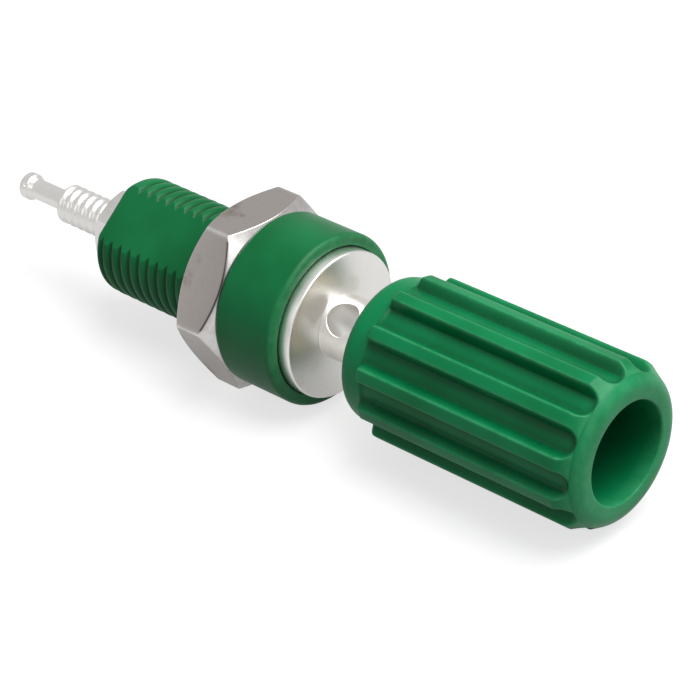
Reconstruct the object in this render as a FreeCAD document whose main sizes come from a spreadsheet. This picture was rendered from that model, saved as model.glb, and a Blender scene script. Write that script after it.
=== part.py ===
"""Insulated panel binding post: moulded body, turned core, two nuts and a ribbed knob.

The X axis is the post's own axis. The panel lies against the rear face of the collar, at
X = 0, the knob is on the +X side and the solder pin on the -X side. Z is up. All sizes are
millimetres and degrees, and each is written once, in the sheet.
"""
import FreeCAD, Part
import os

import Sketcher

SIZES = [
    # Collar and shank of the moulding
    ("shank_diameter", 12.0),
    ("shank_length", 19.3),
    ("shank_round", 1.1),
    ("valley_count", 13),
    ("valley_depth", 0.45),
    ("valley_width", 0.45),
    ("valley_rear", 1.65),
    ("valley_front", 2.21),
    ("flat_depth", 1.0),
    ("key_turn", 38.5),
    ("collar_step", 2.6),
    ("collar_length", 6.9),
    ("collar_round", 0.8),
    # Flange and neck of the core
    ("collar_wall", 1.3),
    ("flange_proud", 1.25),
    ("recess_depth", 0.5),
    ("recess_gap", 0.15),
    ("neck_step", 0.4),
    ("neck_length", 3.0),
    ("neck_gap", 0.05),
    # Stem, cross hole, socket and stop rim
    ("stem_diameter", 6.4),
    ("cross_hole_diameter", 3.3),
    ("cross_hole_land", 0.3),
    ("socket_diameter", 4.0),
    ("socket_land", 0.45),
    ("drill_point", 1.2),
    ("rim_step", 0.7),
    ("rim_length", 1.0),
    ("edge_break", 0.2),
    # Stud and solder pin
    ("stud_diameter", 4.0),
    ("stud_thread_step", 0.25),
    ("stud_reach", 9.6),
    ("stud_gap", 0.1),
    ("pin_diameter", 2.1),
    ("pin_length", 5.25),
    ("head_step", 0.32),
    ("head_length", 0.95),
    # Nuts
    ("panel_nut_inset", 0.1),
    ("panel_nut_height", 5.0),
    ("panel_nut_gap", 0.1),
    ("panel_nut_bore_gap", 0.08),
    ("stud_nut_wall", 1.5),
    ("stud_nut_height", 2.4),
    ("stud_nut_turn", 24.5),
    ("nut_slope", 36.0),
    ("nut_face", 0.97),
    # Threaded bush inside the knob
    ("insert_wall", 1.3),
    ("insert_length", 11.7),
    ("insert_proud", 0.3),
    ("running_gap", 0.05),
    ("stop_gap", 0.1),
    # Knob
    ("knob_lift", 5.95),
    ("knob_length", 27.7),
    ("mouth_step", 0.45),
    ("knob_wall", 3.15),
    ("skirt_length", 2.8),
    ("skirt_round", 1.3),
    ("bevel_step", 1.3),
    ("bevel_length", 2.1),
    ("lip_length", 1.2),
    ("lip_gap", 0.15),
    ("groove_count", 12),
    ("groove_depth", 1.0),
    ("groove_width", 2.5),
    ("groove_floor", 1.9),
    ("groove_end", 0.75),
]

# Diameters and widths that follow from a driving size and a named step
COLLAR_WIDE = "(Sizes.shank_diameter + 2 * Sizes.collar_step)"
FLANGE_WIDE = f"({COLLAR_WIDE} - 2 * Sizes.collar_wall)"
PANEL_NUT_WIDE = f"({COLLAR_WIDE} - 2 * Sizes.panel_nut_inset)"
RIM_WIDE = "(Sizes.stem_diameter + 2 * Sizes.rim_step)"
INSERT_WIDE = "(Sizes.stem_diameter + 2 * Sizes.insert_wall)"
MOUTH_WIDE = f"({INSERT_WIDE} + 2 * Sizes.mouth_step)"
GRIP_WIDE = f"({MOUTH_WIDE} + 2 * Sizes.knob_wall)"
SKIRT_WIDE = f"({GRIP_WIDE} - 2 * Sizes.groove_depth)"
FACE_WIDE = f"({GRIP_WIDE} - 2 * Sizes.bevel_step)"
HEAD_WIDE = "(Sizes.pin_diameter + 2 * Sizes.head_step)"
STUD_NUT_WIDE = "(Sizes.stud_diameter + 2 * Sizes.stud_nut_wall)"
# Engaged threads are drawn at the diameter where their flanks meet
STUD_BLANK = "(Sizes.stud_diameter - 2 * Sizes.stud_thread_step)"

# Steps in which a quarter round is drawn
ROUND_STEPS = 2

# Places along X that several pieces share, each worked out from the sizes
FLANGE_FRONT = "(Sizes.collar_length + Sizes.flange_proud)"
FLANGE_REAR = "(Sizes.collar_length - Sizes.recess_depth)"
KNOB_REAR = f"({FLANGE_FRONT} + Sizes.knob_lift)"
INSERT_REAR = f"({KNOB_REAR} - Sizes.insert_proud)"
RIM_REAR = f"({INSERT_REAR} + Sizes.insert_length + Sizes.stop_gap)"
STEM_FRONT = f"({RIM_REAR} + Sizes.rim_length)"
STUD_NUT_REAR = "(-Sizes.shank_length - Sizes.stud_nut_height)"
STUD_REAR = "(-Sizes.shank_length - Sizes.stud_reach)"
HEAD_FRONT = f"({STUD_REAR} - Sizes.pin_length)"

doc = FreeCAD.newDocument("BindingPost")


def make_sheet():
    """Write the driving sizes into the document's spreadsheet, one alias each."""
    sheet = doc.addObject("Spreadsheet::Sheet", "Sizes")
    for row, (alias, value) in enumerate(SIZES, start=1):
        sheet.set(f"A{row}", alias)
        sheet.set(f"B{row}", str(value))
        sheet.setAlias(f"B{row}", alias)
    doc.recompute()
    return sheet


def make_body(label, place_x="0", turn="0"):
    """Start a sub-part whose own axis is turned about X and moved along X by expressions."""
    body = doc.addObject("PartDesign::Body", label)
    body.Label = label
    body.Placement = FreeCAD.Placement(
        FreeCAD.Vector(0, 0, 0), FreeCAD.Rotation(FreeCAD.Vector(1, 0, 0), 1)
    )
    body.setExpression("Placement.Rotation.Angle", turn)
    body.setExpression("Placement.Base.x", place_x)
    return body


def origin_feature(body, role):
    """Return one of the body's own origin planes or axes, found by its role."""
    return next(item for item in body.Origin.OriginFeatures if item.Role == role)


def make_sketch(body, name, role, lift="0"):
    """Attach an empty sketch to an origin plane, lifted along the plane's normal."""
    sketch = body.newObject("Sketcher::SketchObject", name)
    sketch.AttachmentSupport = [(origin_feature(body, role), "")]
    sketch.MapMode = "FlatFace"
    sketch.setExpression("AttachmentOffset.Base.z", lift)
    return sketch


def tie_distance(sketch, kind, item, spot, text):
    """Tie one coordinate of a point to an expression, or the point to the axis at nought."""
    value = sketch.evalExpression(text)
    if abs(value) < 1e-9:
        axis = -2 if kind == "DistanceX" else -1
        sketch.addConstraint(Sketcher.Constraint("PointOnObject", item, spot, axis))
        return
    index = sketch.addConstraint(Sketcher.Constraint(kind, -1, 1, item, spot, value))
    sketch.setExpression(f"Constraints[{index}]", text)


def tie_point(sketch, item, spot, across, up):
    """Tie a point of a line, arc or circle to its place, given as two expressions."""
    tie_distance(sketch, "DistanceX", item, spot, across)
    tie_distance(sketch, "DistanceY", item, spot, up)


def add_polygon(sketch, corners):
    """Draw a closed polygon whose corners are pairs of expressions."""
    points = [
        FreeCAD.Vector(sketch.evalExpression(across), sketch.evalExpression(up), 0)
        for across, up in corners
    ]
    first = sketch.GeometryCount
    for start, end in zip(points, points[1:] + points[:1]):
        sketch.addGeometry(Part.LineSegment(start, end), False)
    count = len(points)
    for step in range(count):
        here = first + step
        after = first + (step + 1) % count
        sketch.addConstraint(Sketcher.Constraint("Coincident", here, 2, after, 1))
    for step, (across, up) in enumerate(corners):
        tie_point(sketch, first + step, 1, across, up)


def add_circle(sketch, diameter, across="0", up="0"):
    """Draw a circle with its centre and diameter given as expressions."""
    centre = FreeCAD.Vector(sketch.evalExpression(across), sketch.evalExpression(up), 0)
    size = sketch.evalExpression(diameter)
    circle = sketch.addGeometry(
        Part.Circle(centre, FreeCAD.Vector(0, 0, 1), size / 2), False
    )
    tie_point(sketch, circle, 3, across, up)
    index = sketch.addConstraint(Sketcher.Constraint("Diameter", circle, size))
    sketch.setExpression(f"Constraints[{index}]", diameter)


def revolve(body, name, sketch, cut=False):
    """Turn a profile about the sketch's horizontal axis, which is the post's axis."""
    kind = "PartDesign::Groove" if cut else "PartDesign::Revolution"
    feature = body.newObject(kind, name)
    feature.Profile = sketch
    feature.ReferenceAxis = (sketch, ["H_Axis"])
    feature.Angle = 360
    doc.recompute()
    return feature


def pad(body, name, sketch, length, reverse=False):
    """Raise a profile by a length along the sketch's normal, or against it."""
    feature = body.newObject("PartDesign::Pad", name)
    feature.Profile = sketch
    feature.setExpression("Length", length)
    feature.Reversed = reverse
    doc.recompute()
    return feature


def pocket(body, name, sketch, length, reverse=False, middle=False):
    """Cut a profile to a depth and make sure that it took something away."""
    before = body.Shape.Volume
    feature = body.newObject("PartDesign::Pocket", name)
    feature.Profile = sketch
    feature.setExpression("Length", length)
    feature.Reversed = reverse
    feature.Midplane = middle
    doc.recompute()
    if not body.Shape.Volume < before:
        raise RuntimeError(f"{name} of {body.Label} cuts nothing")
    return feature


def edge_names(shape, chosen):
    """Name the edges that a test picks out."""
    return [f"Edge{n}" for n, edge in enumerate(shape.Edges, start=1) if chosen(edge)]


def is_ring(edge, place, radius):
    """Tell whether an edge is a full circle about X at a place and of a radius."""
    curve = edge.Curve
    if not isinstance(curve, Part.Circle) or not edge.isClosed():
        return False
    return abs(curve.Center.x - place) < 1e-4 and abs(curve.Radius - radius) < 1e-4


def ease_rings(body, name, size, rings):
    """Chamfer whole circular edges, each given by its place and diameter."""
    base = body.Tip
    wanted = [(base.evalExpression(at), base.evalExpression(wide) / 2) for at, wide in rings]

    def chosen(edge):
        return any(is_ring(edge, place, radius) for place, radius in wanted)

    names = edge_names(base.Shape, chosen)
    if len(names) != len(wanted):
        raise RuntimeError(f"{name} of {body.Label} found {len(names)} edges")
    feature = body.newObject("PartDesign::Chamfer", name)
    feature.Base = (base, names)
    feature.setExpression("Size", size)
    doc.recompute()
    return feature


def stepped_round(place, radius, size, facing):
    """Return the profile points of a quarter round in even steps, from its rear end on.

    facing is "-" for a round on a rear face and "+" for one on a front face. Steps keep the
    mesh of the solid light, which a true round doesn't.
    """
    turns = range(0, 91, 90 // ROUND_STEPS)
    back = "+" if facing == "-" else "-"
    points = [
        (f"{place} {back} {size} * (1 - cos({turn}))", f"{radius} - {size} * (1 - sin({turn}))")
        for turn in turns
    ]
    return points if facing == "-" else points[::-1]


def add_side_flats(sketch, diameter, depth):
    """Draw the two rectangles that lie outside a pair of flats, above and below."""
    reach = f"({diameter} / 2 + {depth})"
    for sign in ("", "-"):
        near = f"{sign}({diameter} / 2 - {depth})"
        far = f"{sign}{reach}"
        add_polygon(
            sketch, [(f"-{reach}", near), (reach, near), (reach, far), (f"-{reach}", far)]
        )


def cut_valleys(body):
    """Cut the valleys between the shank's ridges, one ring repeated towards the collar.

    They stand for the coarse thread, without its lead. A valley's floor has twelve flat
    sides, which keeps the mesh of the solid light.
    """
    wide = "(Sizes.shank_diameter + 2 * Sizes.valley_depth)"
    corner = "((Sizes.shank_diameter / 2 - Sizes.valley_depth) / cos(15))"
    start = "(-Sizes.shank_length + Sizes.valley_rear)"
    ring = make_sketch(body, "ValleySection", "YZ_Plane", start)
    add_circle(ring, wide)
    add_polygon(ring, [
        (f"{corner} * sin({angle})", f"{corner} * cos({angle})") for angle in range(15, 375, 30)
    ])
    first = pocket(body, "FirstValley", ring, "Sizes.valley_width", reverse=True)
    pattern = body.newObject("PartDesign::LinearPattern", "Valleys")
    pattern.Originals = [first]
    pattern.Direction = (origin_feature(body, "X_Axis"), [""])
    run = "Sizes.shank_length - Sizes.valley_rear - Sizes.valley_front - Sizes.valley_width"
    pattern.setExpression("Length", run)
    pattern.setExpression("Occurrences", "Sizes.valley_count")
    body.Tip = pattern
    doc.recompute()


def make_body_moulding():
    """Collar and shank in one moulding, with a keyed recess for the core's flange."""
    body = make_body("body_moulding", turn="Sizes.key_turn")
    shank = "Sizes.shank_diameter / 2"
    collar = f"({COLLAR_WIDE} / 2)"
    bore = "(Sizes.stud_diameter / 2 + Sizes.stud_gap)"
    recess = f"({FLANGE_WIDE} / 2 + Sizes.recess_gap)"
    section = make_sketch(body, "MouldingSection", "XZ_Plane")
    add_polygon(section, [
        ("-Sizes.shank_length", bore),
        *stepped_round("-Sizes.shank_length", shank, "Sizes.shank_round", "-"),
        ("0", shank),
        ("0", collar),
        *stepped_round("Sizes.collar_length", collar, "Sizes.collar_round", "+"),
        ("Sizes.collar_length", recess),
        (FLANGE_REAR, recess),
        (FLANGE_REAR, bore),
    ])
    revolve(body, "MouldingBlank", section)
    key = make_sketch(body, "NeckSeatSection", "YZ_Plane", FLANGE_REAR)
    add_neck_outline(key, "Sizes.neck_gap")
    pocket(body, "NeckSeat", key, "Sizes.neck_length")
    cut_valleys(body)
    flats = make_sketch(body, "ShankFlatsSection", "YZ_Plane", "-Sizes.shank_length")
    add_side_flats(flats, "Sizes.shank_diameter", "Sizes.flat_depth")
    pocket(body, "ShankFlats", flats, "Sizes.shank_length", reverse=True)
    return body


def add_neck_outline(sketch, gap="0"):
    """Draw the square of the core's neck, widened all round by a gap."""
    half = f"(Sizes.stud_diameter / 2 + Sizes.neck_step + {gap})"
    add_polygon(
        sketch, [(half, half), (f"-{half}", half), (f"-{half}", f"-{half}"), (half, f"-{half}")]
    )


def make_contact_core():
    """Turned core: flange, cross-drilled stem with a socket, keyed neck, stud and pin."""
    body = make_body("contact_core", turn="Sizes.key_turn")
    section = make_sketch(body, "CoreSection", "XZ_Plane")
    head_rear = f"({HEAD_FRONT} - Sizes.head_length)"
    hole_place = f"({FLANGE_FRONT} + Sizes.cross_hole_land + Sizes.cross_hole_diameter / 2)"
    drill_tip = f"({hole_place} + Sizes.cross_hole_diameter / 2 + Sizes.socket_land)"
    add_polygon(section, [
        (head_rear, "0"),
        (head_rear, f"{HEAD_WIDE} / 2"),
        (HEAD_FRONT, f"{HEAD_WIDE} / 2"),
        (HEAD_FRONT, "Sizes.pin_diameter / 2"),
        (STUD_REAR, "Sizes.pin_diameter / 2"),
        (STUD_REAR, "Sizes.stud_diameter / 2"),
        (STUD_NUT_REAR, "Sizes.stud_diameter / 2"),
        (STUD_NUT_REAR, f"{STUD_BLANK} / 2"),
        (FLANGE_REAR, f"{STUD_BLANK} / 2"),
        (FLANGE_REAR, f"{FLANGE_WIDE} / 2"),
        (FLANGE_FRONT, f"{FLANGE_WIDE} / 2"),
        (FLANGE_FRONT, "Sizes.stem_diameter / 2"),
        (RIM_REAR, "Sizes.stem_diameter / 2"),
        (RIM_REAR, f"{RIM_WIDE} / 2"),
        (STEM_FRONT, f"{RIM_WIDE} / 2"),
        (STEM_FRONT, "Sizes.socket_diameter / 2"),
        (f"{drill_tip} + Sizes.drill_point", "Sizes.socket_diameter / 2"),
        (drill_tip, "0"),
    ])
    revolve(body, "CoreBlank", section)
    neck = make_sketch(body, "NeckSection", "YZ_Plane", FLANGE_REAR)
    add_neck_outline(neck)
    pad(body, "Neck", neck, "Sizes.neck_length", reverse=True)
    ease_rings(body, "TurnedEdges", "Sizes.edge_break", [
        (head_rear, HEAD_WIDE),
        (STUD_REAR, "Sizes.stud_diameter"),
        (STEM_FRONT, "Sizes.socket_diameter"),
    ])
    hole = make_sketch(body, "CrossHoleSection", "XY_Plane")
    add_circle(hole, "Sizes.cross_hole_diameter", hole_place)
    pocket(body, "CrossHole", hole, "Sizes.stem_diameter * 2", middle=True)
    return body


def make_nut(label, width, height, bore, place_x, turn="0"):
    """Hexagon nut with both faces turned to a cone, two of its flats facing up and down."""
    body = make_body(label, place_x, turn)
    corner = f"({width} / 2 / cos(30))"
    outline = make_sketch(body, "Hexagon", "YZ_Plane")
    add_polygon(outline, [
        (f"{corner} * sin({angle})", f"{corner} * cos({angle})") for angle in range(30, 390, 60)
    ])
    pad(body, "HexagonPad", outline, height)
    face = f"({width} / 2 * Sizes.nut_face)"
    outside = f"({corner} + 0.5)"
    run = f"(({outside} - {face}) * tan(Sizes.nut_slope))"
    cones = make_sketch(body, "ConeSection", "XZ_Plane")
    add_polygon(cones, [("0", face), ("0", outside), (run, outside)])
    add_polygon(cones, [(height, face), (height, outside), (f"{height} - {run}", outside)])
    revolve(body, "Cones", cones, cut=True)
    hole = make_sketch(body, "BoreSection", "YZ_Plane")
    add_circle(hole, bore)
    pocket(body, "Bore", hole, height, reverse=True)
    return body


def make_knob_insert():
    """Metal bush that carries the knob's thread."""
    body = make_body("knob_insert", INSERT_REAR)
    inner = "(Sizes.stem_diameter / 2 + Sizes.running_gap)"
    section = make_sketch(body, "InsertSection", "XZ_Plane")
    add_polygon(section, [
        ("0", inner),
        ("0", f"{INSERT_WIDE} / 2"),
        ("Sizes.insert_length", f"{INSERT_WIDE} / 2"),
        ("Sizes.insert_length", inner),
    ])
    revolve(body, "InsertTube", section)
    return body


def make_knob():
    """Ribbed knob with a seat for the bush at its rear and a deep bore at its front."""
    body = make_body("knob", KNOB_REAR)
    seat = f"({INSERT_WIDE} / 2 + Sizes.running_gap)"
    seat_floor = "(Sizes.insert_length - Sizes.insert_proud + Sizes.running_gap)"
    mouth_floor = f"({seat_floor} + Sizes.lip_length)"
    lip = f"({RIM_WIDE} / 2 + Sizes.lip_gap)"
    bevel = "(Sizes.knob_length - Sizes.bevel_length)"
    section = make_sketch(body, "KnobSection", "XZ_Plane")
    add_polygon(section, [
        ("0", seat),
        *stepped_round("0", f"{SKIRT_WIDE} / 2", "Sizes.skirt_round", "-"),
        ("Sizes.skirt_length", f"{SKIRT_WIDE} / 2"),
        ("Sizes.skirt_length", f"{GRIP_WIDE} / 2"),
        (bevel, f"{GRIP_WIDE} / 2"),
        ("Sizes.knob_length", f"{FACE_WIDE} / 2"),
        ("Sizes.knob_length", f"{MOUTH_WIDE} / 2"),
        (mouth_floor, f"{MOUTH_WIDE} / 2"),
        (mouth_floor, lip),
        (seat_floor, lip),
        (seat_floor, seat),
    ])
    revolve(body, "KnobBlank", section)
    ease_rings(body, "KnobEdges", "Sizes.edge_break", [
        ("Sizes.skirt_length", GRIP_WIDE),
        ("Sizes.knob_length", MOUTH_WIDE),
    ])
    cut_grooves(body)
    return body


def cut_grooves(body):
    """Cut one groove with a half-round front end, then repeat it round the knob."""
    floor = f"({SKIRT_WIDE} / 2 - Sizes.edge_break / 2)"
    top = f"({GRIP_WIDE} / 2 + Sizes.groove_depth / 2)"
    slope = "((Sizes.groove_width - Sizes.groove_floor) / (2 * Sizes.groove_depth))"
    low = "Sizes.groove_floor / 2"
    high = f"({low} + {slope} * ({top} - {floor}))"
    turn_at = "(Sizes.knob_length - Sizes.groove_end - Sizes.groove_width / 2)"
    across = make_sketch(body, "GrooveSection", "YZ_Plane", "Sizes.skirt_length")
    add_polygon(across, [(f"-{low}", floor), (low, floor), (high, top), (f"-{high}", top)])
    length = f"{turn_at} - Sizes.skirt_length"
    run = pocket(body, "GrooveRun", across, length, reverse=True)
    half = make_sketch(body, "GrooveEndSection", "XZ_Plane")
    half.setExpression("AttachmentOffset.Base.x", turn_at)
    add_polygon(half, [("0", floor), (low, floor), (high, top), ("0", top)])
    before = body.Shape.Volume
    end = body.newObject("PartDesign::Groove", "GrooveEnd")
    end.Profile = half
    end.ReferenceAxis = (half, ["V_Axis"])
    end.Angle = 360
    doc.recompute()
    if not body.Shape.Volume < before:
        raise RuntimeError("GrooveEnd cuts nothing")
    pattern = body.newObject("PartDesign::PolarPattern", "Grooves")
    pattern.Originals = [run, end]
    pattern.Axis = (origin_feature(body, "X_Axis"), [""])
    pattern.Angle = 360
    pattern.setExpression("Occurrences", "Sizes.groove_count")
    body.Tip = pattern
    doc.recompute()


def make_parts():
    """Make every sub-part and return them in order from the panel outwards."""
    return [
        make_body_moulding(),
        make_contact_core(),
        make_nut(
            "panel_nut",
            PANEL_NUT_WIDE,
            "Sizes.panel_nut_height",
            "(Sizes.shank_diameter + 2 * Sizes.panel_nut_bore_gap)",
            "-Sizes.panel_nut_gap - Sizes.panel_nut_height",
        ),
        make_nut(
            "stud_nut",
            STUD_NUT_WIDE,
            "Sizes.stud_nut_height",
            f"({STUD_BLANK} + 2 * Sizes.running_gap)",
            STUD_NUT_REAR,
            "Sizes.stud_nut_turn",
        ),
        make_knob_insert(),
        make_knob(),
    ]


def check_document():
    """Stop if any object of the document failed to compute."""
    for item in doc.Objects:
        if {"Invalid", "Error"} & set(item.State):
            raise RuntimeError(f"{item.Label} is {item.State}")


def export_parts(parts):
    """Check each sub-part's solid and write it to its own file."""
    os.makedirs("parts", exist_ok=True)
    for part in parts:
        shape = part.Shape
        if shape.isNull() or not shape.isValid() or len(shape.Solids) != 1:
            raise RuntimeError(f"{part.Label} isn't one valid solid")
        shape.exportStep(f"parts/{part.Label}.step")
        print(f"{part.Label}: {shape.Volume:.1f} mm3, {len(shape.Faces)} faces")


make_sheet()
sub_parts = make_parts()
doc.recompute()
check_document()
export_parts(sub_parts)
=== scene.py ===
"""Looks of the insulated binding post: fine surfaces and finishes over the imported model.

The X axis is the post's own axis, with the panel against X = 0, the knob on the +X side
and the solder pin on the -X side. Z is up. Sizes here are millimetres and degrees, and the
meshes are put into Blender in metres.
"""

import logging
import math
from dataclasses import dataclass
from enum import Enum

import bmesh
import bpy
import numpy as np
from mathutils import Matrix, Vector


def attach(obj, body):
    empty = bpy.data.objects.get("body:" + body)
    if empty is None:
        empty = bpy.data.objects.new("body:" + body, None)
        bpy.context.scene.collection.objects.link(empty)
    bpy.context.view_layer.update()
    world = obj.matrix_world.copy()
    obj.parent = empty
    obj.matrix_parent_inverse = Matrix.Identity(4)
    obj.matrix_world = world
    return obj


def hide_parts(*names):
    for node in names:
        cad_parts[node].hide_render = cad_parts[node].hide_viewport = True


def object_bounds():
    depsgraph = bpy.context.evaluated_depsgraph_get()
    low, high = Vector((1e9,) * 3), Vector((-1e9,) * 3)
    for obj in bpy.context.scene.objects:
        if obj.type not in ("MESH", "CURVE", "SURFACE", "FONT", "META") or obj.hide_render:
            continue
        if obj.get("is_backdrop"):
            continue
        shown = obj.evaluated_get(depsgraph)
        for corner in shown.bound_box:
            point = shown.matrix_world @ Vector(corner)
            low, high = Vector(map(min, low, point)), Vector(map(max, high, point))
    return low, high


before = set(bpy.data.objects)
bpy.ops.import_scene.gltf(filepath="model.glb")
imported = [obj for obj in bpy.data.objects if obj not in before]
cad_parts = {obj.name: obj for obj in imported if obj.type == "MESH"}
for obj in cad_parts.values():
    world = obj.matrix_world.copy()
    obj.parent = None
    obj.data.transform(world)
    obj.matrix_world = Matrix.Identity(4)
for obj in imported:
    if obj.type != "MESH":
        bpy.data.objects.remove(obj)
CAD_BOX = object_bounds()

log = logging.getLogger("post")

# Metres in a millimetre.
METRES = 0.001
# In millimetres: how near points are welded, the least step of a profile, slack in comparisons.
WELD = 0.0015
GAP = 1e-4
NEAR = 1e-6
# Turn of the core and of the moulding that it is keyed to, in degrees about the X axis.
KEY_TURN = 38.5

Socket = bpy.types.NodeSocket
Input = float | tuple | Socket
Piece = bpy.types.Object
Tint = tuple[float, float, float]
WHITE: Tint = (1.0, 1.0, 1.0)
COOL_GREY: Tint = (0.95, 0.96, 1.0)


class Lie(Enum):
    """Whether the two ends of a surface's rows are joined."""

    OPEN = 0
    LOOP = 1


class Mark(Enum):
    """What a piece's point attributes tell its material."""

    # Painted shade: darker colour in thread valleys, knob grooves, the knob's bore and a line by the nut's
    # chamfer.
    PAINTED_SHADE = "painted_shade"
    # Edge wear together with painted highlights on edges, bevels and chamfer cones; the attribute itself is
    # called edge.
    EDGE = "edge"


def smooth_step(value: np.ndarray, low: float, high: float) -> np.ndarray:
    """Rise from 0 at low to 1 at high by 3 s squared minus 2 s cubed, s being the share of the way."""
    share = np.clip((value - low) / (high - low), 0.0, 1.0)
    return share * share * (3.0 - 2.0 * share)


def soft_min(first: np.ndarray, second: np.ndarray, width: float) -> np.ndarray:
    """The lower of two surfaces, their edge rounded where they differ by less than a width."""
    share = np.clip(0.5 + 0.5 * (second - first) / width, 0.0, 1.0)
    return second + (first - second) * share - width * share * (1.0 - share)


def rounded(corners: list[tuple[float, float, float]], steps: int = 7) -> np.ndarray:
    """Round the corners of an open profile in the plane of the axis.

    Each corner P with radius R becomes an arc that touches both of its runs. With a and b
    the unit vectors to its neighbours and h half the angle between them, the arc's centre
    is P + (a + b) / |a + b| R / sin h, its ends are P + a R / tan h and P + b R / tan h, and
    its points turn evenly from one end to the other.

    Args:
        corners: Place along the axis, distance from it and corner radius of each corner.
        steps: Points on each arc.

    Returns:
        Places and distances as an array of points.
    """
    table = np.asarray(corners, float)
    points, radius = table[:, :2], table[1:-1, 2]
    back, ahead = points[:-2] - points[1:-1], points[2:] - points[1:-1]
    back = back / np.linalg.norm(back, axis=1, keepdims=True)
    ahead = ahead / np.linalg.norm(ahead, axis=1, keepdims=True)
    half = 0.5 * np.arccos(np.clip((back * ahead).sum(1), -1.0, 1.0))
    middle = back + ahead
    middle = middle / np.maximum(np.linalg.norm(middle, axis=1, keepdims=True), 1e-9)
    centre = points[1:-1] + middle * (radius / np.sin(half))[:, None]
    start = points[1:-1] + back * (radius / np.tan(half))[:, None] - centre
    end = points[1:-1] + ahead * (radius / np.tan(half))[:, None] - centre
    turn = np.pi - 2.0 * half
    share = np.linspace(0.0, 1.0, steps)[None, :]
    scale = np.maximum(np.sin(turn), NEAR)[:, None]
    from_start = np.sin((1.0 - share) * turn[:, None]) / scale
    from_end = np.sin(share * turn[:, None]) / scale
    arcs = centre[:, None] + from_start[..., None] * start[:, None] + from_end[..., None] * end[:, None]
    line = np.concatenate([points[:1], arcs.reshape(-1, 2), points[-1:]])
    gap = np.linalg.norm(np.diff(line, axis=0), axis=1)
    return line[np.concatenate([[True], gap > GAP])]


def filled(profile: np.ndarray, places: np.ndarray, level: float) -> np.ndarray:
    """Add points to a profile's straight run at one distance from the axis.

    Args:
        profile: Places and distances of a profile.
        places: Places along the axis of the new points.
        level: Distance from the axis of the run that takes them.

    Returns:
        The profile with the run's new points between its two ends.
    """
    on_run = np.abs(profile[:, 1] - level) < NEAR
    ends = np.flatnonzero(on_run & np.roll(on_run, -1))
    spans = np.abs(np.diff(profile, axis=0)[ends, 0])
    first = ends[np.argmax(spans)]
    low, high = profile[first, 0], profile[first + 1, 0]
    inside = places[(places > min(low, high) + GAP) & (places < max(low, high) - GAP)]
    inside = np.sort(inside) if high > low else np.sort(inside)[::-1]
    run = np.stack([inside, np.full(len(inside), level)], axis=1)
    return np.concatenate([profile[: first + 1], run, profile[first + 1 :]])


def around(x: np.ndarray, radius: np.ndarray, angle: np.ndarray) -> np.ndarray:
    """Points at x with y = radius sin angle and z = radius cos angle, so angles run from +Z to +Y."""
    x, radius, angle = np.broadcast_arrays(x, radius, angle)
    return np.stack([x, radius * np.sin(angle), radius * np.cos(angle)], axis=-1)


def square_reach(half: float, angle: np.ndarray) -> np.ndarray:
    """Distance from the axis to a square's side: half its width over the larger of |cos| and |sin|."""
    return half / np.maximum(np.abs(np.cos(angle)), np.abs(np.sin(angle)))


def edge_drop(x: np.ndarray, edge: float, radius: float) -> np.ndarray:
    """Drop of an edge's quarter circle: radius (1 - root of (1 - s squared)), s the share left of it."""
    left = np.clip((edge + radius - x) / radius, 0.0, 1.0)
    return radius * (1.0 - np.sqrt(1.0 - left**2))


def turned(points: np.ndarray, degrees: float) -> np.ndarray:
    """Turn points about the X axis by the right-hand rule.

    Args:
        points: Points in rows.
        degrees: The turn.

    Returns:
        The turned points.
    """
    sine, cosine = math.sin(math.radians(degrees)), math.cos(math.radians(degrees))
    y, z = points[..., 1], points[..., 2]
    return np.stack([points[..., 0], y * cosine - z * sine, y * sine + z * cosine], axis=-1)


def thread_dip(
    along: np.ndarray, pitch: float, depth: float, soft: float, power: float = 0.5
) -> np.ndarray:
    """Depth of a thread under its crest: wide round ridges with narrow valleys.

    The height over the valley is cos(pi along / pitch) squared, to a power. At a power of
    one half its crest is round and its valley a crease, which soft opens a little.

    Args:
        along: Place along the axis plus the pitch times the turn, from a crest.
        pitch: Distance between two crests.
        depth: Depth of the valleys.
        soft: Share by which the valley is opened.
        power: Power of the square, under one half for wider ridges.

    Returns:
        Depths under the crest.
    """
    height = (np.cos(np.pi * along / pitch) ** 2 + soft**2) ** power
    low, high = soft ** (2.0 * power), (1.0 + soft**2) ** power
    return depth * (1.0 - (height - low) / (high - low))


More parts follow.
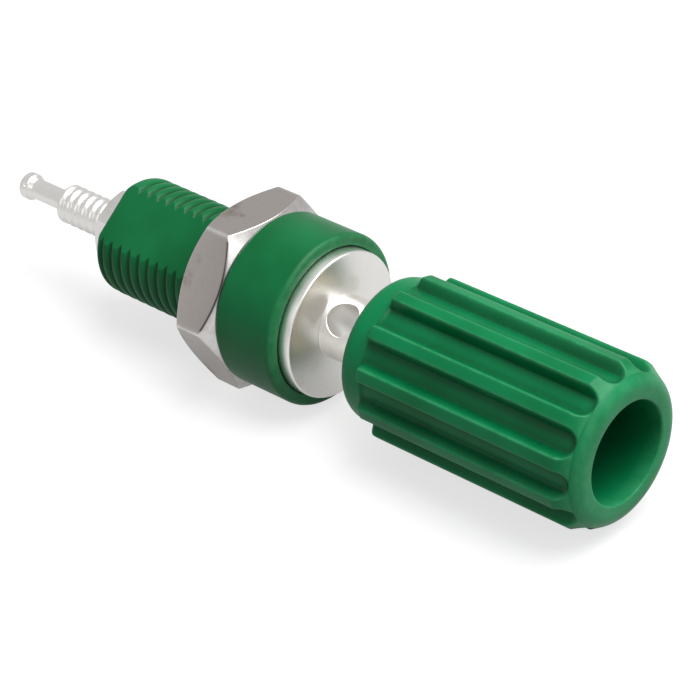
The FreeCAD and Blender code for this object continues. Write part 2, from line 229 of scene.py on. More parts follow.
class Surface:
    """Patches of one piece, collected in millimetres and put into one closed mesh."""

    def __init__(self) -> None:
        """Start with no patch."""
        self.points: list[np.ndarray] = []
        self.faces: list[np.ndarray] = []
        self.marks: dict[Mark, list[np.ndarray]] = {mark: [] for mark in Mark}
        self.count = 0

    def add_grid(
        self,
        points: np.ndarray,
        rows: Lie = Lie.OPEN,
        keep: np.ndarray | None = None,
        marks: dict[Mark, np.ndarray] | None = None,
    ) -> None:
        """Add a grid of points as quads, with the last column joined to the first.

        Args:
            points: Points in rows and columns.
            rows: Whether the last row joins the first too.
            keep: Which quads stay, by row and column, or None for all.
            marks: Values from 0 to 1 for each point, by mark, or None for no mark.
        """
        n_rows, n_columns = points.shape[:2]
        index = np.arange(n_rows * n_columns).reshape(n_rows, n_columns) + self.count
        below, beside = np.roll(index, -1, 0), np.roll(index, -1, 1)
        across = np.roll(below, -1, 1)
        quads = np.stack([index, beside, across, below], axis=-1)[: n_rows - 1 + rows.value]
        if keep is not None:
            quads = quads[keep]
        self.points.append(points.reshape(-1, 3))
        self.faces.append(quads.reshape(-1, 4))
        for mark, parts in self.marks.items():
            values = (marks or {}).get(mark, np.zeros((n_rows, n_columns)))
            parts.append(np.broadcast_to(values, (n_rows, n_columns)).ravel())
        self.count += n_rows * n_columns

    def put(self, name: str, sharp: float = 32.0, turn: float = 0.0) -> Piece:
        """Weld the patches, turn the faces outwards and shade the piece.

        Args:
            name: The piece's name.
            sharp: Angle in degrees over which an edge is drawn sharp.
            turn: Turn of all patches about the X axis, in degrees.

        Returns:
            The piece, linked to the scene.
        """
        points = (turned(np.concatenate(self.points), turn) * METRES).astype(np.float32)
        faces = np.concatenate(self.faces).astype(np.int32)
        mesh = bpy.data.meshes.new(name)
        mesh.vertices.add(len(points))
        mesh.vertices.foreach_set("co", points.ravel())
        mesh.loops.add(faces.size)
        mesh.loops.foreach_set("vertex_index", faces.ravel())
        mesh.polygons.add(len(faces))
        mesh.polygons.foreach_set("loop_start", np.arange(0, faces.size, 4, dtype=np.int32))
        mesh.update(calc_edges=True)
        for mark, parts in self.marks.items():
            layer = mesh.attributes.new(mark.value, "FLOAT", "POINT")
            layer.data.foreach_set("value", np.concatenate(parts).astype(np.float32))
        shell = bmesh.new()
        shell.from_mesh(mesh)
        bmesh.ops.remove_doubles(shell, verts=shell.verts, dist=WELD * METRES)
        bmesh.ops.recalc_face_normals(shell, faces=shell.faces)
        open_edges = sum(1 for edge in shell.edges if len(edge.link_faces) != 2)
        shell.to_mesh(mesh)
        shell.free()
        mesh.validate()
        mesh.shade_smooth()
        mesh.set_sharp_from_angle(angle=math.radians(sharp))
        piece = bpy.data.objects.new(name, mesh)
        bpy.context.scene.collection.objects.link(piece)
        log.info("%s: %d faces, %d open edges", name, len(mesh.polygons), open_edges)
        return piece


class Graph:
    """A node tree with short calls for adding and joining nodes."""

    def __init__(self, tree: bpy.types.NodeTree) -> None:
        """Keep the tree and empty it."""
        self.tree = tree
        tree.nodes.clear()

    def add(self, kind: str, inputs: dict | None = None, **settings: object) -> bpy.types.Node:
        """Add a node.

        Args:
            kind: The node's type name without its ShaderNode prefix.
            inputs: Values or output sockets for its inputs, by name or number.
            settings: Properties of the node.

        Returns:
            The new node.
        """
        prefix = "" if kind.startswith("NodeGroup") else "ShaderNode"
        node = self.tree.nodes.new(prefix + kind)
        for key, value in settings.items():
            setattr(node, key, value)
        for key, value in (inputs or {}).items():
            if isinstance(value, Socket):
                self.tree.links.new(value, node.inputs[key])
            else:
                node.inputs[key].default_value = value
        return node

    def value(self, operation: str, *inputs: Input) -> Socket:
        """A Math node's output, for an operation's name and its values or sockets."""
        return self.add("Math", dict(enumerate(inputs)), operation=operation).outputs[0]

    def remap(self, source: Socket, low: float, high: float, to: tuple = (0.0, 1.0)) -> Socket:
        """Carry a value from low and high to two others, smoothly and held at the ends."""
        inputs = {0: source, 1: low, 2: high, 3: to[0], 4: to[1]}
        return self.add("MapRange", inputs, interpolation_type="SMOOTHSTEP").outputs[0]

    def blend(self, share: Input, first: Input, second: Input) -> Socket:
        """Mix two colours, with a share that says how much of the second shows."""
        return self.add("Mix", {0: share, 6: first, 7: second}, data_type="RGBA").outputs[2]

    def layer(self, base: Input, mask: Input, strength: float, tint: Input) -> Socket:
        """Lay a colour over a base where a mask shows, with a strength where the mask is full."""
        return self.blend(self.value("MULTIPLY", mask, strength), base, tint)

    def noise(self, at: Input, scale: Input, detail: float, rough: float = 0.5) -> Socket:
        """A noise value, with its scale, its number of finer layers and how strong they are."""
        inputs = {"Vector": at, "Scale": scale, "Detail": detail, "Roughness": rough}
        return self.add("TexNoise", inputs).outputs[0]


def colour(base: Tint, share: float = 1.0, lift: float = 0.0) -> tuple[float, ...]:
    """A share of a colour with an even lift, for a node's socket."""
    return (*(share * part + lift for part in base), 1.0)


class EffectGroup:
    """A shared effect of several finishes, built once as a node group."""

    name = "Effect"
    inputs: dict[str, float] = {}
    outputs: tuple[str, ...] = ()

    def tree(self) -> bpy.types.NodeTree:
        """The group, made at its first use."""
        found = bpy.data.node_groups.get(self.name)
        return found if found else self.build()

    def build(self) -> bpy.types.NodeTree:
        """Make the group's sockets and fill it.

        Returns:
            The new node group.
        """
        tree = bpy.data.node_groups.new(self.name, "ShaderNodeTree")
        place = tree.interface.new_socket("Place", in_out="INPUT", socket_type="NodeSocketVector")
        place.default_value = (0.0, 0.0, 0.0)
        for label, value in self.inputs.items():
            socket = tree.interface.new_socket(label, in_out="INPUT", socket_type="NodeSocketFloat")
            socket.default_value = value
        for label in self.outputs:
            tree.interface.new_socket(label, in_out="OUTPUT", socket_type="NodeSocketFloat")
        graph = Graph(tree)
        entry = graph.add("NodeGroupInput")
        results = self.fill(graph, entry.outputs)
        ending = graph.add("NodeGroupOutput")
        for label in self.outputs:
            tree.links.new(results[label], ending.inputs[label])
        return tree

    def fill(self, graph: Graph, entry: bpy.types.NodeOutputs) -> dict[str, Socket]:
        """Add the effect's nodes and return its output sockets by name."""
        raise NotImplementedError

    def use(self, graph: Graph, place: Socket, **values: float) -> bpy.types.Node:
        """Place the group in a material.

        Args:
            graph: The material's graph.
            place: The place that the effect reads.
            values: Its own values, by input name with spaces written as low lines.

        Returns:
            The group node.
        """
        node = graph.add("Group", node_tree=self.tree())
        graph.tree.links.new(place, node.inputs["Place"])
        for label, value in values.items():
            node.inputs[label.replace("_", " ")].default_value = value
        return node


class MouldSkin(EffectGroup):
    """Skin of moulded plastic: fine grain, long waves of shrinkage and rubbed spots."""

    name = "Mould skin"
    inputs = {"Grain": 5200.0, "Wave": 150.0}
    outputs = ("Height", "Tone", "Rub")
    stretch = (1.0, 7.0, 7.0)
    scratch_scale = 420.0
    grain_share = 0.12

    def fill(self, graph: Graph, entry: bpy.types.NodeOutputs) -> dict[str, Socket]:
        """Grain and waves make the height, a slow noise the tone, stretched noise the rub."""
        grain = graph.noise(entry["Place"], entry["Grain"], 3.0, 0.6)
        wave = graph.noise(entry["Place"], entry["Wave"], 2.0, 0.45)
        stretched = graph.add("Mapping", {"Vector": entry["Place"], "Scale": self.stretch}).outputs[0]
        scratch = graph.noise(stretched, self.scratch_scale, 5.0, 0.7)
        rub = graph.remap(scratch, 0.56, 0.72)
        small = graph.value("MULTIPLY", grain, self.grain_share)
        return {"Height": graph.value("ADD", wave, small), "Tone": wave, "Rub": rub}


class TurnedMarks(EffectGroup):
    """Rings that a lathe leaves: noise that changes only along the axis and outwards."""

    name = "Turned marks"
    inputs = {"Fineness": 9000.0}
    outputs = ("Height", "Streak")
    coarse_scale = 1500.0
    coarse_share = 0.6

    def fill(self, graph: Graph, entry: bpy.types.NodeOutputs) -> dict[str, Socket]:
        """Read the noise at (x, distance from the axis, 0), so it runs round the axis."""
        parts = graph.add("SeparateXYZ", {0: entry["Place"]}).outputs
        across = graph.add("CombineXYZ", {1: parts[1], 2: parts[2]}).outputs[0]
        radius = graph.add("VectorMath", {0: across}, operation="LENGTH").outputs["Value"]
        line = graph.add("CombineXYZ", {0: parts[0], 1: radius}).outputs[0]
        fine = graph.noise(line, entry["Fineness"], 2.0, 0.6)
        coarse = graph.noise(line, self.coarse_scale, 3.0, 0.6)
        share = graph.value("MULTIPLY", coarse, self.coarse_share)
        return {"Height": graph.value("ADD", fine, share), "Streak": coarse}


class Tarnish(EffectGroup):
    """Cloudy stains and small pits on plated metal."""

    name = "Tarnish"
    inputs = {"Cloud": 260.0, "Cover": 0.52}
    outputs = ("Stain", "Pit")
    stain_edge = 0.16
    pit_scale = 2300.0

    def fill(self, graph: Graph, entry: bpy.types.NodeOutputs) -> dict[str, Socket]:
        """Two noises over a threshold make the stains, a fine cell pattern the pits."""
        cloud = graph.noise(entry["Place"], entry["Cloud"], 5.0, 0.62)
        above = graph.value("SUBTRACT", cloud, entry["Cover"])
        stain = graph.remap(above, 0.0, self.stain_edge)
        cells = graph.add("TexVoronoi", {"Vector": entry["Place"], "Scale": self.pit_scale}, feature="F1")
        pit = graph.remap(cells.outputs["Distance"], 0.05, 0.22, (1.0, 0.0))
        return {"Stain": stain, "Pit": pit}


class PaintedLightAndWear(EffectGroup):
    """Painted shade in hollows, and edge wear with painted highlights, from a piece's own marks."""

    name = "PaintedLightAndWear"
    inputs = {"Break up": 900.0}
    outputs = ("PaintedShade", "WearAndHighlight")

    def fill(self, graph: Graph, entry: bpy.types.NodeOutputs) -> dict[str, Socket]:
        """Each mark times a noise that leaves it uneven."""
        rough = graph.noise(entry["Place"], entry["Break up"], 3.0, 0.6)
        painted_shade = graph.add("Attribute", attribute_name=Mark.PAINTED_SHADE.value).outputs["Fac"]
        edge = graph.add("Attribute", attribute_name=Mark.EDGE.value).outputs["Fac"]
        return {
            "PaintedShade": graph.value("MULTIPLY", painted_shade, graph.remap(rough, 0.25, 0.6, (0.82, 1.0))),
            "WearAndHighlight": graph.value("MULTIPLY", edge, graph.remap(rough, 0.3, 0.65, (0.45, 1.0))),
        }


def start_material(name: str) -> tuple[bpy.types.Material, Graph, Socket]:
    """Start a material with nodes.

    Args:
        name: Its name.

    Returns:
        The material, its graph and the object's own coordinates.
    """
    material = bpy.data.materials.new(name)
    material.use_nodes = True
    graph = Graph(material.node_tree)
    place = graph.add("TexCoord").outputs["Object"]
    return material, graph, place


@dataclass(frozen=True)
class MouldedPlastic:
    """Glossy moulded plastic with a fine skin and a light rub."""

    name: str
    deep: Tint
    pale: Tint
    roughness: tuple[float, float] = (0.3, 0.37)
    wave: float = 150.0
    rub: float = 0.05
    shade: float = 0.55
    edge_wear_and_highlight: float = 0.3
    bump: float = 0.16
    bump_height: float = 0.00012
    specular: float = 0.15

    def make(self) -> bpy.types.Material:
        """Build the material.

        Returns:
            The material.
        """
        material, graph, place = start_material(self.name)
        skin = MouldSkin().use(graph, place, Wave=self.wave)
        light_and_wear = PaintedLightAndWear().use(graph, place)
        tone = graph.remap(skin.outputs["Tone"], 0.3, 0.7)
        base = graph.blend(tone, colour(self.deep), colour(self.pale))
        base = graph.layer(base, skin.outputs["Rub"], self.rub, colour(self.pale, 0.75, 0.05))
        # Painted shade: hollows darkened towards a third of the deep colour.
        base = graph.layer(base, light_and_wear.outputs["PaintedShade"], self.shade, colour(self.deep, 0.3))
        # Edge wear with painted highlight: marked edges lifted towards a paler colour.
        base = graph.layer(base, light_and_wear.outputs["WearAndHighlight"], self.edge_wear_and_highlight, colour(self.pale, 1.6, 0.1))
        rough = graph.remap(skin.outputs["Rub"], 0.0, 1.0, self.roughness)
        relief = {"Strength": self.bump, "Distance": self.bump_height, "Height": skin.outputs["Height"]}
        bump = graph.add("Bump", relief)
        shader = graph.add("BsdfPrincipled", {
            "Base Color": base,
            "Roughness": rough,
            "Normal": bump.outputs[0],
            "IOR": 1.5,
            "Specular IOR Level": self.specular,
        })
        graph.add("OutputMaterial", {"Surface": shader.outputs[0]})
        return material


@dataclass(frozen=True)
class PlatedMetal:
    """Plated or bare turned metal with rings, cloudy stains and small pits."""

    name: str
    bright: Tint
    stained: Tint
    roughness: tuple[float, float] = (0.22, 0.4)
    cover: float = 0.52
    ring_strength: float = 0.1
    streak: float = 0.5
    cloud: float = 260.0
    pits: float = 0.3
    bump_height: float = 0.00003

    def make(self) -> bpy.types.Material:
        """Build the material.

        Returns:
            The material.
        """
        material, graph, place = start_material(self.name)
        marks = TurnedMarks().use(graph, place)
        stains = Tarnish().use(graph, place, Cover=self.cover, Cloud=self.cloud)
        light_and_wear = PaintedLightAndWear().use(graph, place)
        base = graph.blend(stains.outputs["Stain"], colour(self.bright), colour(self.stained))
        base = graph.layer(base, stains.outputs["Pit"], self.pits, colour(self.stained, 0.55))
        # Painted shade: hollows darkened almost to black.
        base = graph.blend(light_and_wear.outputs["PaintedShade"], base, colour(self.stained, 0.08))
        # Edge wear with painted highlight: marked edges lifted towards a pale metal.
        base = graph.blend(light_and_wear.outputs["WearAndHighlight"], base, colour(self.bright, 0.25, 0.7))
        streak = graph.remap(marks.outputs["Streak"], 0.3, 0.7, (0.0, self.streak))
        both = graph.value("ADD", streak, graph.value("MULTIPLY", stains.outputs["Stain"], 0.5))
        rough = graph.remap(both, 0.0, 1.0, self.roughness)
        pit_depth = graph.value("MULTIPLY", stains.outputs["Pit"], -0.5)
        height = graph.value("ADD", marks.outputs["Height"], pit_depth)
        relief = {"Strength": self.ring_strength, "Distance": self.bump_height, "Height": height}
        bump = graph.add("Bump", relief)
        shader = graph.add("BsdfPrincipled", {
            "Base Color": base,
            "Metallic": 1.0,
            "Roughness": rough,
            "Normal": bump.outputs[0],
        })
        graph.add("OutputMaterial", {"Surface": shader.outputs[0]})
        return material


BODY_PLASTIC = MouldedPlastic(
    "green_body", (0.003, 0.115, 0.032), (0.005, 0.158, 0.048), roughness=(0.34, 0.42), shade=0.65
)
KNOB_PLASTIC = MouldedPlastic("green_knob", (0.002, 0.165, 0.052), (0.004, 0.215, 0.074), shade=0.62)
CORE_PLATING = PlatedMetal(
    "plated_core", (0.92, 0.9, 0.87), (0.82, 0.78, 0.72), roughness=(0.32, 0.42),
    cover=0.56, ring_strength=0.05, streak=0.3,
)
NUT_PLATING = PlatedMetal(
    "plated_nut", (0.53, 0.49, 0.46), (0.3, 0.24, 0.21), roughness=(0.24, 0.36),
    cover=0.51, ring_strength=0.03, streak=0.1, cloud=170.0,
)
STUD_NUT_PLATING = PlatedMetal(
    "plated_small_nut", (0.86, 0.84, 0.81), (0.72, 0.66, 0.6), roughness=(0.26, 0.36),
    cover=0.56, ring_strength=0.03, streak=0.1,
)
BUSH_BRASS = PlatedMetal("insert_brass", (0.82, 0.7, 0.48), (0.55, 0.42, 0.24), (0.25, 0.45), 0.55)


def fit(piece: Piece, body: str, node: str, material: bpy.types.Material) -> None:
    """Set a new piece in the place of a CAD node and give it its finish.

    Args:
        piece: The new piece.
        body: The body that it rides on.
        node: The CAD node that it stands for.
        material: Its material.
    """
    piece.data.materials.append(material)
    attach(piece, body)
    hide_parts(node)


@dataclass
class Moulding:
    """Collar and threaded shank with two flats, in the frame of the keyed core."""

    rear: float = -19.3
    shank_radius: float = 6.0
    rear_round: float = 1.1
    flat_distance: float = 5.0
    flat_round: float = 0.5
    bore_radius: float = 2.1
    seat_half: float = 2.45
    seat_rear: float = 3.4
    seat_front: float = 6.4
    seat_mouth: float = 4.0
    recess_radius: float = 7.45
    collar_radius: float = 8.6
    collar_front: float = 6.9
    pitch: float = 1.25
    crest_at: float = -15.51
    thread_depth: float = 0.37
    valley_open: float = 0.2
    ridge_power: float = 0.3
    ridge_blend: float = 0.12
    flat_blend: float = 0.05
    thread_end: float = -0.7
    thread_fade: float = 0.5
    first_crest: float = -18.01
    rows_per_pitch: float = 16.0
    # Strength of the painted highlight along the collar's front ring.
    front_highlight: float = 0.9

    def columns(self) -> np.ndarray:
        """Angles from a flat's middle, close together where the thread meets the flats."""
        quarter = np.concatenate([
            np.array([0.0, 4.0, 8.0, 12.0]),
            np.arange(14.5, 36.6, 0.9),
            np.array([39.0, 42.0, 45.0]),
            np.arange(48.0, 90.1, 3.0),
        ])
        half = np.concatenate([quarter, 180.0 - quarter[-2::-1]])
        return np.radians(np.concatenate([half, 360.0 - half[-2:0:-1]]))

    def shank(self, angle: np.ndarray) -> tuple[np.ndarray, np.ndarray]:
        """The shank's side: the lower of thread, rounded rear edge and the two flats.

        Args:
            angle: The columns' angles.

        Returns:
            Points of the side in rows from rear to front, and the painted shade that each takes from its
            depth in a valley.
        """
        steps = np.linspace(0.0, 0.5 * np.pi, 10)
        arc = self.rear + self.rear_round * (1.0 - np.cos(steps))
        row_gap = self.pitch / self.rows_per_pitch
        x = np.concatenate([arc[1:], np.arange(arc[-1] + row_gap, -0.02, row_gap), [0.0]])[:, None]
        place = x + self.pitch * (angle[None, :] - math.radians(KEY_TURN)) / (2.0 * np.pi)
        fade = 1.0 - smooth_step(x, self.thread_end - self.thread_fade, self.thread_end)
        along = place - self.crest_at
        dip = thread_dip(along, self.pitch, self.thread_depth, self.valley_open, self.ridge_power) * fade
        dip = np.where(place < self.first_crest, 0.0, dip)
        edge = self.shank_radius - edge_drop(x, self.rear, self.rear_round)
        away = self.flat_distance - edge_drop(x, self.rear, self.flat_round)
        flat = away / np.maximum(np.abs(np.cos(angle))[None, :], 0.2)
        threaded = soft_min(self.shank_radius - dip, edge + 0.02, self.ridge_blend)
        radius = soft_min(threaded, flat, self.flat_blend)
        # Painted shade in the thread's valleys, faded out where the flats cut the thread.
        painted_shade = smooth_step(dip, 0.2 * self.thread_depth, 0.9 * self.thread_depth)
        painted_shade = painted_shade * smooth_step(flat - threaded, -0.04, 0.1)
        return around(x, radius, angle[None, :]), painted_shade

    def build(self) -> Piece:
        """Make the moulding: shank side, collar profile, recess, square seat and bore.

        Returns:
            The piece.
        """
        angle = self.columns()
        side, painted_shade = self.shank(angle)
        collar = rounded([
            (0.0, self.shank_radius, 0.0),
            (0.0, self.collar_radius, 0.25),
            (self.collar_front, self.collar_radius, 0.55),
            (self.collar_front, self.recess_radius, 0.12),
            (self.seat_front, self.recess_radius, 0.0),
            (self.seat_front, self.seat_mouth, 0.0),
        ])
        collar = filled(collar, np.arange(0.5, self.collar_front, 0.8), self.collar_radius)
        outer = around(collar[1:, :1], collar[1:, 1:], angle[None, :])
        wide = square_reach(self.seat_half, angle)
        seat_x = np.array([self.seat_front, self.seat_rear, self.seat_rear, self.rear, self.rear])[:, None]
        bore = np.full_like(wide, self.bore_radius)
        inner = around(seat_x, np.stack([wide, wide, bore, bore, bore + 1.2]), angle[None, :])
        points = np.concatenate([side, outer, inner])
        marks = {mark: np.zeros(points.shape[:2]) for mark in Mark}
        marks[Mark.PAINTED_SHADE][: len(side)] = painted_shade
        # Painted highlight along the collar's front ring, held in the edge mark.
        front = smooth_step(collar[1:, :1], self.collar_front - 0.5, self.collar_front - 0.05)
        front = self.front_highlight * front * (collar[1:, 1:] > self.recess_radius + 0.01)
        marks[Mark.EDGE][len(side) : len(side) + len(outer)] = front
        surface = Surface()
        surface.add_grid(points, rows=Lie.LOOP, marks=marks)
        return surface.put("moulded_body", turn=KEY_TURN)


@dataclass
class Core:
    """Turned core: pin with a head, threaded stud, keyed neck, flange, drilled stem."""

    head_rear: float = -35.1
    head_front: float = -34.15
    head_radius: float = 1.37
    pin_radius: float = 1.05
    stud_rear: float = -28.9
    stud_radius: float = 2.0
    nut_rear: float = -21.7
    blank_radius: float = 1.75
    neck_rear: float = 3.4
    neck_half: float = 2.4
    flange_rear: float = 6.4
    flange_front: float = 8.15
    flange_radius: float = 7.3
    stem_radius: float = 3.2
    rim_rear: float = 25.6
    rim_radius: float = 3.9
    stem_front: float = 26.6
    socket_radius: float = 2.0
    socket_floor: float = 13.4
    drill_tip: float = 12.2
    hole_at: float = 10.1
    hole_radius: float = 1.65
    hole_edge: float = 0.09
    patch_half: float = 1.82
    patch_rows: int = 14
    stud_pitch: float = 1.06
    stud_depth: float = 0.22
    stud_open: float = 0.25
    pit_at: float = -34.32
    pit_angle: float = -57.0
    pit_depth: float = 0.16
    pit_reach: tuple[float, float] = (0.06, 0.24)
    columns: int = 144

    def rear_part(self, angle: np.ndarray) -> np.ndarray:
        """From the head's end to the stem's foot, with the stud's thread and the neck.

        Args:
            angle: The columns' angles.

        Returns:
            Points in rows.
        """
        profile = rounded([
            (self.head_rear, 0.0, 0.0),
            (self.head_rear, self.head_radius, 0.2),
            (self.head_front, self.head_radius, 0.12),
            (self.head_front + 0.12, self.head_radius - 0.13, 0.1),
            (self.head_front + 0.6, self.pin_radius, 0.5),
            (self.stud_rear, self.pin_radius, 0.12),
            (self.stud_rear, self.stud_radius, 0.25),
            (self.nut_rear, self.stud_radius, 0.0),
            (self.nut_rear, self.blank_radius, 0.0),
            (self.neck_rear, self.blank_radius, 0.0),
            (self.neck_rear, self.neck_half, 0.0),
            (self.flange_rear, self.neck_half, 0.0),
            (self.flange_rear, self.flange_radius, 0.12),
            (self.flange_front, self.flange_radius, 0.2),
            (self.flange_front, self.stem_radius, 0.1),
            (self.hole_at - self.patch_half, self.stem_radius, 0.0),
        ])
        turns = np.arange(self.stud_rear + 0.3, self.nut_rear, self.stud_pitch / 14.0)
        profile = filled(profile, turns, self.stud_radius)
        profile = filled(profile, np.arange(self.head_rear, self.head_front, 0.05), self.head_radius)
        x, radius = profile[:, :1], profile[:, 1:] * np.ones((1, len(angle)))
        place = x + self.stud_pitch * angle[None, :] / (2.0 * np.pi)
        on_stud = smooth_step(x, self.stud_rear + 0.15, self.stud_rear + 0.8) * (x < self.nut_rear + NEAR)
        on_stud = on_stud * (profile[:, 1:] > self.stud_radius - NEAR)
        radius = radius - on_stud * thread_dip(place, self.stud_pitch, self.stud_depth, self.stud_open)
        on_neck = (x > self.neck_rear - NEAR) & (np.abs(profile[:, 1:] - self.neck_half) < NEAR)
        radius = np.where(on_neck, square_reach(self.neck_half, angle)[None, :], radius)
        aside = self.head_radius * np.abs(angle[None, :] - math.radians(self.pit_angle + KEY_TURN))
        pit = 1.0 - smooth_step(np.hypot(x - self.pit_at, aside), *self.pit_reach)
        return around(x, radius - self.pit_depth * pit, angle[None, :])

    def front_part(self, angle: np.ndarray) -> np.ndarray:
        """From behind the cross hole over the stop rim to the socket's drill point.

        Args:
            angle: The columns' angles.

        Returns:
            Points in rows.
        """
        profile = rounded([
            (self.hole_at + self.patch_half, self.stem_radius, 0.0),
            (self.rim_rear, self.stem_radius, 0.0),
            (self.rim_rear, self.rim_radius, 0.12),
            (self.stem_front, self.rim_radius, 0.2),
            (self.stem_front, self.socket_radius, 0.2),
            (self.socket_floor, self.socket_radius, 0.0),
            (self.drill_tip, 0.0, 0.0),
        ])
        return around(profile[:, :1], profile[:, 1:], angle[None, :])

    def mouth(self, outline: np.ndarray, facing: float) -> np.ndarray:
        """One mouth of the cross hole, from its patch's border to the hole's wall.

        The border's points (x, angle) are carried in equal shares to the mouth's edge, where
        the stem's height is the root of R squared minus q squared, q being the distance off
        the hole's middle plane. Then the edge is rounded into the wall.

        Args:
            outline: Border points as place along the axis and angle off the hole's axis.
            facing: 1 for the mouth on the hole's own side, -1 for the one opposite.

        Returns:
            Points in rows from the border inwards.
        """
        side = self.stem_radius * np.sin(outline[:, 1])
        turn = np.arctan2(side, outline[:, 0] - self.hole_at)
        wide = self.hole_radius + self.hole_edge
        edge_x = self.hole_at + wide * np.cos(turn)
        edge_angle = np.arcsin(wide * np.sin(turn) / self.stem_radius)
        share = np.array([0.0, 0.25, 0.5, 0.75, 0.9, 1.0])[:, None]
        x = outline[None, :, 0] * (1.0 - share) + edge_x[None] * share
        angle = outline[None, :, 1] * (1.0 - share) + edge_angle[None] * share
        skin = np.stack([x, self.stem_radius * np.sin(angle), self.stem_radius * np.cos(angle)], axis=-1)
        bend = np.linspace(0.0, 0.5 * np.pi, 6)[1:, None]
        ring = self.hole_radius + self.hole_edge * (1.0 - np.sin(bend))
        level = np.sqrt(self.stem_radius**2 - (wide * np.sin(turn)) ** 2)[None]
        height = level - self.hole_edge * (1.0 - np.cos(bend))
        lip = np.stack([
            self.hole_at + ring * np.cos(turn)[None],
            ring * np.sin(turn)[None],
            height * np.ones_like(ring),
        ], axis=-1)
        rows = np.concatenate([skin, lip])
        rows[..., 2] *= facing
        return rows

    def build(self) -> Piece:
        """Make the core, with the cross hole along its own Z before the key's turn.

        Returns:
            The piece.
        """
        step = 2.0 * np.pi / self.columns
        angle = (np.arange(self.columns) - self.columns // 8) * step
        reach = self.columns // 4
        surface = Surface()
        surface.add_grid(self.rear_part(angle))
        surface.add_grid(self.front_part(angle))
        rows = self.patch_rows
        x = np.linspace(self.hole_at - self.patch_half, self.hole_at + self.patch_half, rows + 1)
        ring = around(x[:, None], np.full((rows + 1, 1), self.stem_radius), angle[None, :])
        closed = np.arange(self.columns) % (self.columns // 2) >= reach
        surface.add_grid(ring, keep=np.broadcast_to(closed, (rows, self.columns)))
        across = angle[: reach + 1]
        outline = np.concatenate([
            np.stack([np.full(reach, x[0]), across[:-1]], axis=1),
            np.stack([x[:-1], np.full(rows, across[-1])], axis=1),
            np.stack([np.full(reach, x[-1]), across[:0:-1]], axis=1),
            np.stack([x[:0:-1], np.full(rows, across[0])], axis=1),
        ])
        near, far = self.mouth(outline, 1.0), self.mouth(outline, -1.0)
        surface.add_grid(near)
        surface.add_grid(far)
        share = np.linspace(0.0, 1.0, 9)[:, None, None]
        surface.add_grid(near[-1][None] * (1.0 - share) + far[-1][None] * share)
        return surface.put("turned_core", 38.0, KEY_TURN)


